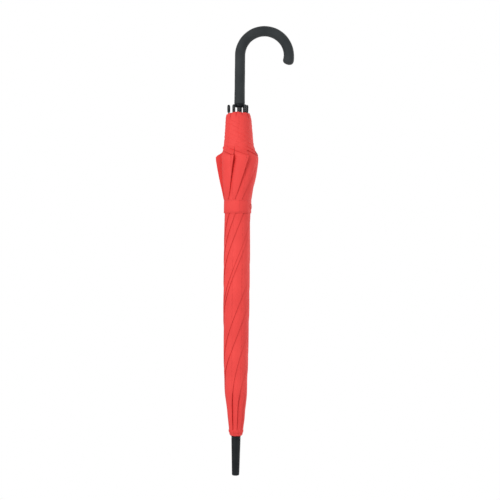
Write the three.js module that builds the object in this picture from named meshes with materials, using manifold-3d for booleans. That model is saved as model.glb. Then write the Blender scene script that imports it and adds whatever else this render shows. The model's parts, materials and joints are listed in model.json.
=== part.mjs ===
// Stick umbrella with a crook handle, rolled and strapped shut. Millimetres, +Z towards the handle.
// The origin is the flat end of the ferrule, on the shaft's axis. The crook opens towards +X.
import * as THREE from 'three';
import { mergeVertices } from 'three/addons/utils/BufferGeometryUtils.js';
import Module from 'manifold-3d';

const wasm = await Module();
wasm.setup();

// ---- driving dimensions -------------------------------------------------------------------------
const GAP = 0.3;                    // clearance between neighbouring pieces

const FERRULE_LENGTH = 73;
const FERRULE_END_RADIUS = 6.8;
const FERRULE_TOP_RADIUS = 8.6;
const FERRULE_FLAT_RADIUS = 5;      // flat face that meets the ground
const FERRULE_SOCKET_FLOOR = 22;

const SHAFT_RADIUS = 4.5;
const SHAFT_BORE = 3.7;
const SHAFT_TOP = 736;              // inside the handle

const RIB_COUNT = 8;
const RIB_STEP = 2 * Math.PI / RIB_COUNT;
const FIRST_RIB_AZIMUTH = -112.5 * Math.PI / 180;
const RIB_RADIUS = 1.4;
const RIB_HINGE_RADIUS = 7.6;       // circle of the notch wire
const RIB_HINGE_Z = 81;
const RIB_END_Z = 679;
const RIB_TIP_Z = 684;
// Where each rolled rib's tip lies: degrees from the front, turning right, and distance from the axis.
const ROLLED_TIPS = [
  [-44.5, 15], [41.5, 15.5], [76, 14.3], [105, 14], [142, 14.5], [183, 13.5], [227.5, 14.6], [278, 20.2],
];

const STRETCHER_RADIUS = 1.1;
const STRETCHER_ALONG_RIB = 290;    // from the rib's hinge to the stretcher's joint
const STRETCHER_OFFSET = 3;         // a stretcher lies beside its rib: at the runner
const STRETCHER_END_OFFSET = 3.4;     // and at its far end, from the rib itself
const RUNNER_PIVOT_X = 7.4;
const RUNNER_PIVOT_Z = 641;

const RUNNER_BOTTOM = 636.5;
const RUNNER_TOP = 666;
const RUNNER_BORE = 5;
const RUNNER_RADIUS = 6.5;
const RUNNER_FLANGE_RADIUS = 10.6;
const RUNNER_FLANGE_TOP = 646;
const RUNNER_TRAVEL = 331.5;

const NOTCH_BOTTOM = 75;
const NOTCH_TOP = 88;
const NOTCH_RADIUS = 9.9;
const HUB_BORE = SHAFT_RADIUS + GAP;

const CATCH_AZIMUTH = -112.93 * Math.PI / 180;   // between two stretchers
const CATCH_REACH = 6.3;
const CATCH_HALF_WIDTH = 0.9;

const COLLAR_BOTTOM = 680;
const GRIP_BOTTOM = 686.3;
const GRIP_RADIUS = 9.8;
const GRIP_BORE = 5.5;
const CORE_RADIUS = 4.9;
const CROOK_RADIUS = 45.1;
const CROOK_CENTRE_Z = 776;
const CROOK_PAST_LEVEL = 13.5 * Math.PI / 180;   // how far the hook's end turns below its centre
const GRIP_END_DOME = 6.5;

const PANEL_THICKNESS = 2.2;
const PANEL_BOTTOM = 80.6;
const STRAP_BOTTOM = 484;
const STRAP_TOP = 509;
const STRAP_INNER = 24;
const STRAP_THICKNESS = 1.3;
const STRAP_SEAM_AZIMUTH = FIRST_RIB_AZIMUTH + 3 * RIB_STEP;
const STRAP_ARCS = 4;
const STRAP_ARC = 85.5 * Math.PI / 180;
const SNAP_RADIUS = 5;
const SNAP_THICKNESS = 1;
const SNAP_FROM_END = 0.2;          // arcs between the snap and the strap's free end
const ROLL_SEGMENTS = 24;

// Outline of the rolled canopy: height, outer radius.
const ROLLED_OUTLINE = [
  [PANEL_BOTTOM, 12.6], [105, 15.8], [150, 19.8], [194, 22], [324, 23.6], [STRAP_BOTTOM - 1, 23.6],
  [STRAP_TOP + 1, 23.6], [542, 31], [586, 38], [601, 29.5], [638, 25.4], [655, 24.6], [663, 23.6],
];

// ---- materials ----------------------------------------------------------------------------------
const material = (color, roughness, metalness = 0) =>
  new THREE.MeshStandardMaterial({ color, roughness, metalness });
const FOAM = material('#3b3f41', 0.85);
const BLACK_PLASTIC = material('#26292b', 0.4);
const RED_PLASTIC = material('#d9423d', 0.35);
const BLACK_STEEL = material('#17181a', 0.3, 0.6);
const BRIGHT_STEEL = material('#b9bdc0', 0.3, 1);
const FIBREGLASS = material('#1d1f21', 0.35);
const RED_CLOTH = material('#e8504b', 0.7);

// ---- solids -------------------------------------------------------------------------------------
function solid(geometry) {
  const bare = geometry.clone();
  bare.deleteAttribute('normal');
  bare.deleteAttribute('uv');
  const merged = mergeVertices(bare, 1e-4);
  const points = new Float32Array(merged.attributes.position.array);
  const index = merged.index.array;
  const faces = [];
  let volume = 0;
  const corner = [new THREE.Vector3(), new THREE.Vector3(), new THREE.Vector3()];
  for (let i = 0; i < index.length; i += 3) {
    const [a, b, c] = [index[i], index[i + 1], index[i + 2]];
    if (a === b || b === c || c === a) continue;
    faces.push(a, b, c);
    [a, b, c].forEach((vertex, k) => corner[k].fromArray(points, 3 * vertex));
    volume += corner[0].dot(corner[1].clone().cross(corner[2]));
  }
  if (volume < 0) faces.reverse();
  const surface = new wasm.Mesh({ numProp: 3, vertProperties: points, triVerts: new Uint32Array(faces) });
  return new wasm.Manifold(surface);
}

function piece(name, body, look, azimuth = 0) {
  const surface = body.getMesh();
  const geometry = new THREE.BufferGeometry();
  geometry.setAttribute('position', new THREE.BufferAttribute(surface.vertProperties, 3));
  geometry.setIndex(new THREE.BufferAttribute(surface.triVerts, 1));
  geometry.computeVertexNormals();
  const mesh = new THREE.Mesh(geometry, look);
  mesh.name = name;
  mesh.rotation.z = azimuth;
  return mesh;
}

// A body turned about the Z axis from a closed profile of [radius, height] points.
function turned(profile, segments = 24) {
  const points = profile.map(([radius, height]) => new THREE.Vector2(radius, height));
  const onAxis = profile[0][0] === 0 && profile[profile.length - 1][0] === 0;
  if (!onAxis) points.push(points[0].clone());
  return solid(new THREE.LatheGeometry(points, segments).rotateX(Math.PI / 2));
}

const tube = (inner, outer, bottom, top, segments = 24) =>
  turned([[inner, bottom], [outer, bottom], [outer, top], [inner, top]], segments);

function rod(from, to, radius, sides = 8) {
  const along = to.clone().sub(from);
  const geometry = new THREE.CylinderGeometry(radius, radius, along.length(), sides);
  const turn = new THREE.Quaternion().setFromUnitVectors(new THREE.Vector3(0, 1, 0), along.normalize());
  geometry.applyQuaternion(turn);
  geometry.translate(...from.clone().add(to).multiplyScalar(0.5).toArray());
  return solid(geometry);
}

function block(low, high) {
  const size = high.map((value, axis) => value - low[axis]);
  const middle = high.map((value, axis) => (value + low[axis]) / 2);
  return solid(new THREE.BoxGeometry(...size).translate(...middle));
}

const turnedAbout = (body, azimuth) => body.rotate([0, 0, THREE.MathUtils.radToDeg(azimuth)]);
const ribAzimuth = (i) => FIRST_RIB_AZIMUTH + i * RIB_STEP;

// A wedge about the Z axis between two azimuths less than half a turn apart.
function wedge(start, end, reach, bottom, top) {
  const far = reach / Math.cos((end - start) / 2);
  const outline = new THREE.Shape([
    new THREE.Vector2(0, 0),
    new THREE.Vector2(far * Math.cos(start), far * Math.sin(start)),
    new THREE.Vector2(far * Math.cos(end), far * Math.sin(end)),
  ]);
  const geometry = new THREE.ExtrudeGeometry(outline, { depth: top - bottom, bevelEnabled: false });
  return solid(geometry.translate(0, 0, bottom));
}

function wire(radius, height, thickness) {
  return solid(new THREE.TorusGeometry(radius, thickness, 5, 30).translate(0, 0, height));
}

// ---- shaft, ferrule and notch -------------------------------------------------------------------
const PIN_Z = { stop: RUNNER_BOTTOM - RUNNER_TRAVEL - 1.7, handle: 714 };

// Each catch is a flat leaf in the shaft with a nose through a window: shoulder height and the way
// from it to the nose's foot.
const CATCHES = {
  bottom_catch: { shoulder: RUNNER_BOTTOM - 0.6, towards: -1 },
  top_catch: { shoulder: RUNNER_TOP - RUNNER_TRAVEL + 0.6, towards: 1 },
};
const NOSE_LENGTH = 14;

function crossPin(height, radius, halfLength, azimuth) {
  const end = new THREE.Vector3(Math.cos(azimuth), Math.sin(azimuth), 0).multiplyScalar(halfLength);
  const middle = new THREE.Vector3(0, 0, height);
  return rod(middle.clone().sub(end), middle.clone().add(end), radius, 12);
}

function shaft() {
  let body = tube(SHAFT_BORE, SHAFT_RADIUS, FERRULE_SOCKET_FLOOR + GAP, SHAFT_TOP, 20);
  body = body.subtract(crossPin(PIN_Z.stop, 1.5, 8, CATCH_AZIMUTH + Math.PI / 2));
  body = body.subtract(crossPin(PIN_Z.handle, 1.2, 8, 0));
  for (const { shoulder, towards } of Object.values(CATCHES)) {
    const ends = [shoulder - towards * 2, shoulder + towards * (NOSE_LENGTH + 2)];
    const window = block([2, -1.25, Math.min(...ends)], [6, 1.25, Math.max(...ends)]);
    body = body.subtract(turnedAbout(window, CATCH_AZIMUTH));
  }
  return body;
}

function catchLeaf({ shoulder, towards }) {
  const foot = shoulder + towards * NOSE_LENGTH;
  const outline = new THREE.Shape([
    new THREE.Vector2(-1.2, shoulder - towards * 6),
    new THREE.Vector2(3.3, shoulder - towards * 6),
    new THREE.Vector2(3.3, shoulder),
    new THREE.Vector2(CATCH_REACH, shoulder),
    new THREE.Vector2(CATCH_REACH, shoulder + towards * 3),
    new THREE.Vector2(3.3, foot),
    new THREE.Vector2(3.3, foot + towards * 6),
    new THREE.Vector2(-1.2, foot + towards * 6),
  ]);
  const depth = 2 * CATCH_HALF_WIDTH;
  const leaf = new THREE.ExtrudeGeometry(outline, { depth, bevelEnabled: false });
  return solid(leaf.rotateX(Math.PI / 2).translate(0, CATCH_HALF_WIDTH, 0));
}

const ferrule = () => turned([
  [0, 0], [FERRULE_FLAT_RADIUS, 0], [FERRULE_END_RADIUS, 2.2], [FERRULE_TOP_RADIUS, FERRULE_LENGTH - 1],
  [FERRULE_TOP_RADIUS - 0.6, FERRULE_LENGTH], [HUB_BORE, FERRULE_LENGTH],
  [HUB_BORE, FERRULE_SOCKET_FLOOR], [0, FERRULE_SOCKET_FLOOR],
]);

function notch() {
  let body = tube(HUB_BORE, NOTCH_RADIUS, NOTCH_BOTTOM, NOTCH_TOP);
  for (let i = 0; i < RIB_COUNT; i += 1) {
    const slot = block([5.6, -1.3, RIB_HINGE_Z - 2.2], [12, 1.3, NOTCH_TOP + 1]);
    body = body.subtract(turnedAbout(slot, ribAzimuth(i)));
  }
  return body.subtract(wire(RIB_HINGE_RADIUS, RIB_HINGE_Z, 0.7));
}

// ---- ribs, tips and stretchers, each drawn with its own azimuth turned to +X ------------------------
function rolledTip(i) {
  const [fromFront, radius] = ROLLED_TIPS[i];
  const azimuth = THREE.MathUtils.degToRad(fromFront - 90) - ribAzimuth(i);
  return new THREE.Vector3(radius * Math.cos(azimuth), radius * Math.sin(azimuth), RIB_TIP_Z);
}

const ribHinge = new THREE.Vector3(RIB_HINGE_RADIUS, 0, RIB_HINGE_Z);
const alongRib = (i, distance) => {
  const way = rolledTip(i).sub(ribHinge).normalize();
  return ribHinge.clone().addScaledVector(way, distance);
};
const ribAtHeight = (i, z) => ribHinge.clone().lerp(rolledTip(i), (z - RIB_HINGE_Z) / (RIB_TIP_Z - RIB_HINGE_Z));

const eye = (at, radius, halfWidth) => {
  const side = new THREE.Vector3(0, halfWidth, 0);
  return rod(at.clone().sub(side), at.clone().add(side), radius, 12);
};

function rib(i) {
  const joint = alongRib(i, STRETCHER_ALONG_RIB);
  return eye(ribHinge, 1.7, 1)
    .add(block([RIB_HINGE_RADIUS - 1.4, -1, RIB_HINGE_Z], [RIB_HINGE_RADIUS + 1.4, 1, RIB_HINGE_Z + 12]))
    .add(rod(alongRib(i, 9), ribAtHeight(i, RIB_END_Z), RIB_RADIUS))
    .add(block([joint.x - 1.9, joint.y - 1.6, joint.z - 6], [joint.x + 1.9, joint.y + 1.6, joint.z + 6]))
    .subtract(eye(ribHinge, 0.8, 4));
}

function ribTip(i) {
  const base = ribAtHeight(i, RIB_END_Z - 9);
  const way = rolledTip(i).sub(ribHinge).normalize();
  const socket = RIB_RADIUS + GAP;
  const cap = turned([
    [socket, 0], [2.5, 0], [2.75, 1.2], [2.75, 11], [2, 13.4], [0, 14.2], [0, 10], [socket, 10],
  ].reverse(), 12);
  const turn = new THREE.Quaternion().setFromUnitVectors(new THREE.Vector3(0, 0, 1), way);
  const placed = new THREE.Matrix4().compose(base, turn, new THREE.Vector3(1, 1, 1));
  return cap.transform(placed.toArray());
}

function stretcher(i) {
  const pivot = new THREE.Vector3(RUNNER_PIVOT_X, STRETCHER_OFFSET, RUNNER_PIVOT_Z);
  const far = alongRib(i, STRETCHER_ALONG_RIB);
  far.y += STRETCHER_END_OFFSET;
  const way = far.clone().sub(pivot).normalize();
  return eye(pivot, 1.7, 1.1)
    .add(rod(pivot.clone().addScaledVector(way, 0.4), far, STRETCHER_RADIUS))
    .add(eye(far, 1.8, 1.1))
    .subtract(eye(pivot, 0.95, 4));
}

// ---- runner -------------------------------------------------------------------------------------
const pivotCircle = Math.hypot(RUNNER_PIVOT_X, STRETCHER_OFFSET);

function runner() {
  let body = turned([
    [RUNNER_BORE, RUNNER_BOTTOM], [RUNNER_FLANGE_RADIUS - 1, RUNNER_BOTTOM],
    [RUNNER_FLANGE_RADIUS, RUNNER_BOTTOM + 1], [RUNNER_FLANGE_RADIUS, RUNNER_FLANGE_TOP - 1],
    [RUNNER_FLANGE_RADIUS - 1, RUNNER_FLANGE_TOP], [RUNNER_RADIUS, RUNNER_FLANGE_TOP + 4],
    [RUNNER_RADIUS, RUNNER_TOP - 5], [RUNNER_RADIUS + 1.5, RUNNER_TOP - 3],
    [RUNNER_RADIUS + 1.5, RUNNER_TOP], [RUNNER_BORE, RUNNER_TOP],
  ]);
  for (let i = 0; i < RIB_COUNT; i += 1) {
    const slot = block(
      [5.45, STRETCHER_OFFSET - 1.4, RUNNER_BOTTOM - 1],
      [12, STRETCHER_OFFSET + 1.4, RUNNER_PIVOT_Z + 2.2],
    );
    body = body.subtract(turnedAbout(slot, ribAzimuth(i)));
  }
  const keyway = block([4, -1.4, RUNNER_BOTTOM - 1], [CATCH_REACH + GAP, 1.4, RUNNER_TOP + 1]);
  body = body.subtract(turnedAbout(keyway, CATCH_AZIMUTH));
  return body.subtract(wire(pivotCircle, RUNNER_PIVOT_Z, 0.68));
}

// ---- handle -------------------------------------------------------------------------------------
// The line through the middle of the handle: up the leg from a height, then round the hook.
class CrookLine extends THREE.Curve {
  constructor(bottom, shortBy = 0) {
    super();
    this.bottom = bottom;
    this.leg = CROOK_CENTRE_Z - bottom;
    this.length = this.leg + CROOK_RADIUS * (Math.PI + CROOK_PAST_LEVEL) - shortBy;
  }

  getPoint(t) {
    const run = t * this.length;
    if (run <= this.leg) return new THREE.Vector3(0, 0, this.bottom + run);
    const turn = Math.PI - (run - this.leg) / CROOK_RADIUS;
    const x = CROOK_RADIUS * (1 + Math.cos(turn));
    return new THREE.Vector3(x, 0, CROOK_CENTRE_Z + CROOK_RADIUS * Math.sin(turn));
  }
}

function alongCrook(line, radius, sides, bore, boreSides, steps) {
  const section = new THREE.Shape();
  const circle = (size, count) => Array.from({ length: count }, (_, k) => {
    const angle = 2 * Math.PI * k / count;
    return new THREE.Vector2(size * Math.cos(angle), size * Math.sin(angle));
  });
  section.setFromPoints(circle(radius, sides));
  if (bore > 0) section.holes.push(new THREE.Path(circle(bore, boreSides).reverse()));
  return solid(new THREE.ExtrudeGeometry(section, { steps, bevelEnabled: false, extrudePath: line }));
}

function grip() {
  const hose = alongCrook(new CrookLine(GRIP_BOTTOM), GRIP_RADIUS, 14, GRIP_BORE, 10, 26);
  const dome = turned([
    [0, -1], [GRIP_RADIUS - 0.1, -1], [GRIP_RADIUS - 0.1, 0], [0.87 * GRIP_RADIUS, 0.5 * GRIP_END_DOME],
    [0.5 * GRIP_RADIUS, 0.87 * GRIP_END_DOME], [0, GRIP_END_DOME],
  ], 14);
  const end = new THREE.Vector3(
    CROOK_RADIUS * (1 + Math.cos(CROOK_PAST_LEVEL)), 0,
    CROOK_CENTRE_Z - CROOK_RADIUS * Math.sin(CROOK_PAST_LEVEL),
  );
  const way = new THREE.Vector3(-Math.sin(CROOK_PAST_LEVEL), 0, -Math.cos(CROOK_PAST_LEVEL));
  const turn = new THREE.Quaternion().setFromUnitVectors(new THREE.Vector3(0, 0, 1), way);
  const placed = new THREE.Matrix4().compose(end, turn, new THREE.Vector3(1, 1, 1));
  return hose.add(dome.transform(placed.toArray()));
}

const core = () => alongCrook(new CrookLine(SHAFT_TOP + GAP, 3), CORE_RADIUS, 8, 0, 0, 22);

const gripCollar = () => turned([
  [HUB_BORE, COLLAR_BOTTOM], [8.2, COLLAR_BOTTOM], [8.9, COLLAR_BOTTOM + 0.8],
  [8.9, GRIP_BOTTOM - GAP], [HUB_BORE, GRIP_BOTTOM - GAP],
]);

// ---- canopy and strap ---------------------------------------------------------------------------
function rolledCanopy() {
  const outer = ROLLED_OUTLINE.map(([z, radius]) => [radius, z]);
  const inner = ROLLED_OUTLINE.map(([z, radius]) => [radius - PANEL_THICKNESS, z]).reverse();
  return turned([...outer, ...inner], ROLL_SEGMENTS);
}

function panel(roll, i) {
  const margin = 0.008;   // radians of space beside each rib, about 0.2 mm at the roll's surface
  const sector = wedge(ribAzimuth(i) + margin, ribAzimuth(i + 1) - margin, 60, 60, 700);
  return roll.intersect(sector);
}

const canopyCollar = () => turned([
  [10.4, FERRULE_LENGTH + GAP], [11.6, FERRULE_LENGTH + GAP], [12.2, 79.4], [10.4, 79.4],
]);

// The strap runs from its seam once round the roll, in arcs that unroll one after the other.
function strapArc(k) {
  const ring = tube(STRAP_INNER, STRAP_INNER + STRAP_THICKNESS, STRAP_BOTTOM, STRAP_TOP, ROLL_SEGMENTS);
  const margin = 0.006;
  const start = STRAP_SEAM_AZIMUTH + k * STRAP_ARC;
  return ring.intersect(wedge(start + margin, start + STRAP_ARC - margin, 60, 400, 600));
}

function snapCap() {
  const middle = (STRAP_BOTTOM + STRAP_TOP) / 2;
  const azimuth = STRAP_SEAM_AZIMUTH + (STRAP_ARCS - SNAP_FROM_END) * STRAP_ARC;
  const out = new THREE.Vector3(Math.cos(azimuth), Math.sin(azimuth), 0);
  const at = (distance) => out.clone().multiplyScalar(distance).setZ(middle);
  const outside = STRAP_INNER + STRAP_THICKNESS + GAP;
  return rod(at(outside), at(outside + SNAP_THICKNESS), SNAP_RADIUS, 16);
}

// ---- the whole umbrella ---------------------------------------------------------------------------
const frame = new THREE.Group();
frame.add(
  piece('ferrule', ferrule(), BLACK_PLASTIC),
  piece('shaft_tube', shaft(), BLACK_STEEL),
  piece('crown_washer', tube(HUB_BORE, 9.4, FERRULE_LENGTH + GAP, NOTCH_BOTTOM - GAP), BLACK_PLASTIC),
  piece('top_notch', notch(), BLACK_PLASTIC),
  piece('notch_wire', wire(RIB_HINGE_RADIUS, RIB_HINGE_Z, 0.4), BRIGHT_STEEL),
  piece('top_stop_pin', crossPin(PIN_Z.stop, 1.2, 6.2, CATCH_AZIMUTH + Math.PI / 2), BRIGHT_STEEL),
  piece('canopy_collar', canopyCollar(), RED_CLOTH),
);

const handle = new THREE.Group();
handle.add(
  piece('crook_core', core(), BLACK_PLASTIC),
  piece('crook_grip', grip(), FOAM),
  piece('grip_collar', gripCollar(), BLACK_PLASTIC),
  piece('handle_pin', crossPin(PIN_Z.handle, 0.9, CORE_RADIUS, 0), BRIGHT_STEEL),
);

const slider = new THREE.Group();
slider.add(
  piece('runner_sleeve', runner(), BLACK_PLASTIC),
  piece('runner_wire', wire(pivotCircle, RUNNER_PIVOT_Z, 0.35), BRIGHT_STEEL),
);
for (const [name, measures] of Object.entries(CATCHES)) {
  slider.add(piece(name, catchLeaf(measures), BRIGHT_STEEL, CATCH_AZIMUTH));
}

const canopy = new THREE.Group();
const roll = rolledCanopy();
for (let i = 0; i < RIB_COUNT; i += 1) {
  canopy.add(
    piece(`rib_${i + 1}`, rib(i), FIBREGLASS, ribAzimuth(i)),
    piece(`rib_tip_${i + 1}`, ribTip(i), BLACK_PLASTIC, ribAzimuth(i)),
    piece(`stretcher_${i + 1}`, stretcher(i), BLACK_STEEL, ribAzimuth(i)),
    piece(`canopy_panel_${i + 1}`, panel(roll, i), RED_CLOTH),
  );
}
for (let k = 0; k < STRAP_ARCS; k += 1) {
  canopy.add(piece(`strap_arc_${k + 1}`, strapArc(k), RED_CLOTH));
}
canopy.add(piece('strap_snap', snapCap(), RED_PLASTIC));

const group = new THREE.Group();
group.add(frame, handle, slider, canopy);
export default group;
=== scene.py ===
import json
import math

import bmesh
import bpy
import numpy as np
from mathutils import Matrix, Vector


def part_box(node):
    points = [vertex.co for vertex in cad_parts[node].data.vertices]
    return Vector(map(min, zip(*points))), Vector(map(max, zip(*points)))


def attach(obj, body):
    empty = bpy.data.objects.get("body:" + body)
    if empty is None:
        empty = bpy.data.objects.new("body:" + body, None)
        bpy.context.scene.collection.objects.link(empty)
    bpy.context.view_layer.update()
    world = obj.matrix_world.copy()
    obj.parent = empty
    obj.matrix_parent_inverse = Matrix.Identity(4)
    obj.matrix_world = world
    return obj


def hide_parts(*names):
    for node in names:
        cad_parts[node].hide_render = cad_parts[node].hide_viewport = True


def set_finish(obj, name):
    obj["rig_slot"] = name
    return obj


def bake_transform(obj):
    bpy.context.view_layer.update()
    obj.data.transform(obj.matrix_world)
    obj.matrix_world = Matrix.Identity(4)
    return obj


# The stick umbrella's visual model. Shapes are worked out in millimetres, in the frame of the CAD
# model: +Z towards the handle, -Y the front, and the crook opening towards +X.
# An azimuth is in degrees from the front, turning towards +X.
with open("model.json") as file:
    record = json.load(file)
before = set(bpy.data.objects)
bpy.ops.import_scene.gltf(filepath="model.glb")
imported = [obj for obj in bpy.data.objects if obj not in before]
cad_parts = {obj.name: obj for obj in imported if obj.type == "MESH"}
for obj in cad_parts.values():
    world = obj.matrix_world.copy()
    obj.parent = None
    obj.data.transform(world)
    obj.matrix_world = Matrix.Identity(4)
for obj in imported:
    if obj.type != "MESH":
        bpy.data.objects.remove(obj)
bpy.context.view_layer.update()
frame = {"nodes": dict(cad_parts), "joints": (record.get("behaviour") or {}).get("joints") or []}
MM = 0.001


def low(node):
    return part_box(node)[0] / MM


def high(node):
    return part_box(node)[1] / MM


def joint_place(name):
    place = next(j for j in frame["joints"] if j["name"] == name)["pos_m"]
    return Vector(place) / MM


def outward(azimuth):
    return Vector((math.sin(math.radians(azimuth)), -math.cos(math.radians(azimuth)), 0))


# ---- measures taken from the frame ----
RIBS = range(1, 9)
RIB_HINGES = {n: joint_place(f"rib_{n}_hinge") for n in RIBS}
RIB_AZIMUTHS = {n: math.degrees(math.atan2(h.x, -h.y)) for n, h in RIB_HINGES.items()}
RIB_TIPS = {n: (low(f"rib_tip_{n}") + high(f"rib_tip_{n}")) / 2 for n in RIBS}
RIB_WAYS = {n: (RIB_TIPS[n] - RIB_HINGES[n]).normalized() for n in RIBS}
STRETCHER_PIVOTS = {n: joint_place(f"stretcher_{n}_hinge") for n in RIBS}
STRETCHER_ALONG_RIB = 290
STRETCHER_BESIDE_RIB = 3.4

FERRULE_TOP = high("ferrule").z
FERRULE_RADIUS = high("ferrule").x
SHAFT_RADIUS = high("shaft_tube").x
HUB_BORE = SHAFT_RADIUS + 0.25
GRIP_RADIUS = -low("crook_grip").x
GRIP_BOTTOM = low("crook_grip").z
CROOK_RADIUS = (high("crook_grip").x - GRIP_RADIUS) / 2
CROOK_CENTRE_Z = high("crook_grip").z - GRIP_RADIUS - CROOK_RADIUS
STRAP_BOTTOM = low("strap_arc_1").z
STRAP_TOP = high("strap_arc_1").z
STRAP_RADIUS = 25.2
HEM_Z = 668.6
CATCH_AZIMUTH = -22.93


# ---- meshes ----
def turned(profile, segments=48, closed=True):
    """A shell turned about Z from (radius, height) points; a closed profile returns to its start."""
    turns = np.linspace(0, 2 * math.pi, segments, endpoint=False)
    points = [(r * math.cos(t), r * math.sin(t), z) for r, z in profile for t in turns]
    rows = len(profile)
    faces = []
    for row in range(rows if closed else rows - 1):
        here = row * segments
        above = (row + 1) % rows * segments
        for column in range(segments):
            beside = (column + 1) % segments
            faces.append((here + column, here + beside, above + beside, above + column))
    return points, faces


def swept(stations, side, sides=16):
    """A round bar through (centre, direction, radius) stations; side is square to every direction."""
    side = Vector(side).normalized()
    turns = np.linspace(0, 2 * math.pi, sides, endpoint=False)
    points = []
    for centre, direction, radius in stations:
        other = Vector(direction).normalized().cross(side)
        points += [Vector(centre) + radius * (math.cos(t) * side + math.sin(t) * other) for t in turns]
    faces = []
    for row in range(len(stations) - 1):
        here = row * sides
        for column in range(sides):
            beside = (column + 1) % sides
            faces.append((here + column, here + beside, here + sides + beside, here + sides + column))
    return points, faces


def bar(start, end, radius, sides=16, rounding=0.0):
    """A straight round bar whose two ends are rounded off."""
    start = Vector(start)
    way = Vector(end) - start
    length = way.length
    way.normalize()
    side = way.orthogonal()
    ends = [(0, 0), (0, radius - rounding)]
    ends += [(rounding * (1 - math.cos(t)), radius - rounding * (1 - math.sin(t)))
             for t in np.linspace(0.4, math.pi / 2, 4)] if rounding else []
    places = ends + [(length - along, size) for along, size in reversed(ends)]
    return swept([(start + way * along, way, size) for along, size in places], side, sides)


def slab(lowest, highest):
    (a, b, c), (d, e, f) = lowest, highest
    points = [(a, b, c), (d, b, c), (d, e, c), (a, e, c), (a, b, f), (d, b, f), (d, e, f), (a, e, f)]
    faces = [(0, 3, 2, 1), (4, 5, 6, 7), (0, 1, 5, 4), (1, 2, 6, 5), (2, 3, 7, 6), (3, 0, 4, 7)]
    return points, faces


def placed(shell, matrix):
    return [matrix @ Vector(p) for p in shell[0]], shell[1]


def about_z(shell, azimuth):
    """The shell, drawn towards +X, turned to an azimuth."""
    return placed(shell, Matrix.Rotation(math.radians(azimuth - 90), 4, "Z"))


def tidy(mesh, sharp=35):
    made = bmesh.new()
    made.from_mesh(mesh)
    bmesh.ops.remove_doubles(made, verts=made.verts, dist=0.004 * MM)
    bmesh.ops.dissolve_degenerate(made, edges=made.edges, dist=0.004 * MM)
    bmesh.ops.recalc_face_normals(made, faces=made.faces)
    made.to_mesh(mesh)
    made.free()
    mesh.shade_smooth()
    mesh.set_sharp_from_angle(angle=math.radians(sharp))


def build(name, shells, look, slot, edge=0.0, sharp=35):
    """One object of one or more shells in millimetres, its sharp edges rounded by edge."""
    points = []
    faces = []
    for shell_points, shell_faces in shells:
        faces += [tuple(len(points) + k for k in face) for face in shell_faces]
        points += [tuple(Vector(p) * MM) for p in shell_points]
    mesh = bpy.data.meshes.new(name)
    mesh.from_pydata(points, [], faces)
    tidy(mesh, sharp)
    piece = bpy.data.objects.new(name, mesh)
    bpy.context.scene.collection.objects.link(piece)
    mesh.materials.append(look)
    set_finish(piece, slot)
    if edge:
        bevel = piece.modifiers.new("edge", "BEVEL")
        bevel.width = edge * MM
        bevel.segments = 2
        bevel.limit_method = "ANGLE"
        bevel.angle_limit = math.radians(sharp)
    return piece


def cut(piece, shells):
    """Takes shells away from a piece."""
    for k, shell in enumerate(shells):
        tool = build(f"{piece.name}_cutter_{k}", [shell], piece.data.materials[0], piece["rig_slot"])
        hole = piece.modifiers.new("hole", "BOOLEAN")
        hole.object = tool
        hole.solver = "EXACT"
        bpy.context.view_layer.update()
        left = piece.evaluated_get(bpy.context.evaluated_depsgraph_get())
        mesh = bpy.data.meshes.new_from_object(left)
        piece.modifiers.remove(hole)
        piece.data = mesh
        bpy.data.objects.remove(tool)
    tidy(piece.data)


def fixed(piece, body, *nodes):
    """The piece moves with a body and stands for the CAD nodes."""
    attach(piece, body)
    if nodes:
        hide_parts(*nodes)


def smooth_curve(x, table):
    """A curve through (x, y) points that never swings past them."""
    xs, ys = (np.array(column, float) for column in zip(*table))
    slopes = np.diff(ys) / np.diff(xs)
    tangents = np.concatenate([[slopes[0]], np.zeros(len(xs) - 2), [slopes[-1]]])
    same = slopes[:-1] * slopes[1:] > 0
    mean = 2 * slopes[:-1] * slopes[1:] / np.where(same, slopes[:-1] + slopes[1:], 1)
    tangents[1:-1] = np.where(same, mean, 0)
    x = np.clip(np.asarray(x, float), xs[0], xs[-1])
    k = np.clip(np.searchsorted(xs, x) - 1, 0, len(xs) - 2)
    h = xs[k + 1] - xs[k]
    t = (x - xs[k]) / h
    start = (1 + 2 * t) * (1 - t) ** 2 * ys[k] + t * (1 - t) ** 2 * h * tangents[k]
    return start + t * t * (3 - 2 * t) * ys[k + 1] + t * t * (t - 1) * h * tangents[k + 1]


def smooth_step(x, start, end):
    t = np.clip((np.asarray(x, float) - start) / (end - start), 0, 1)
    return t * t * (3 - 2 * t)


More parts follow.
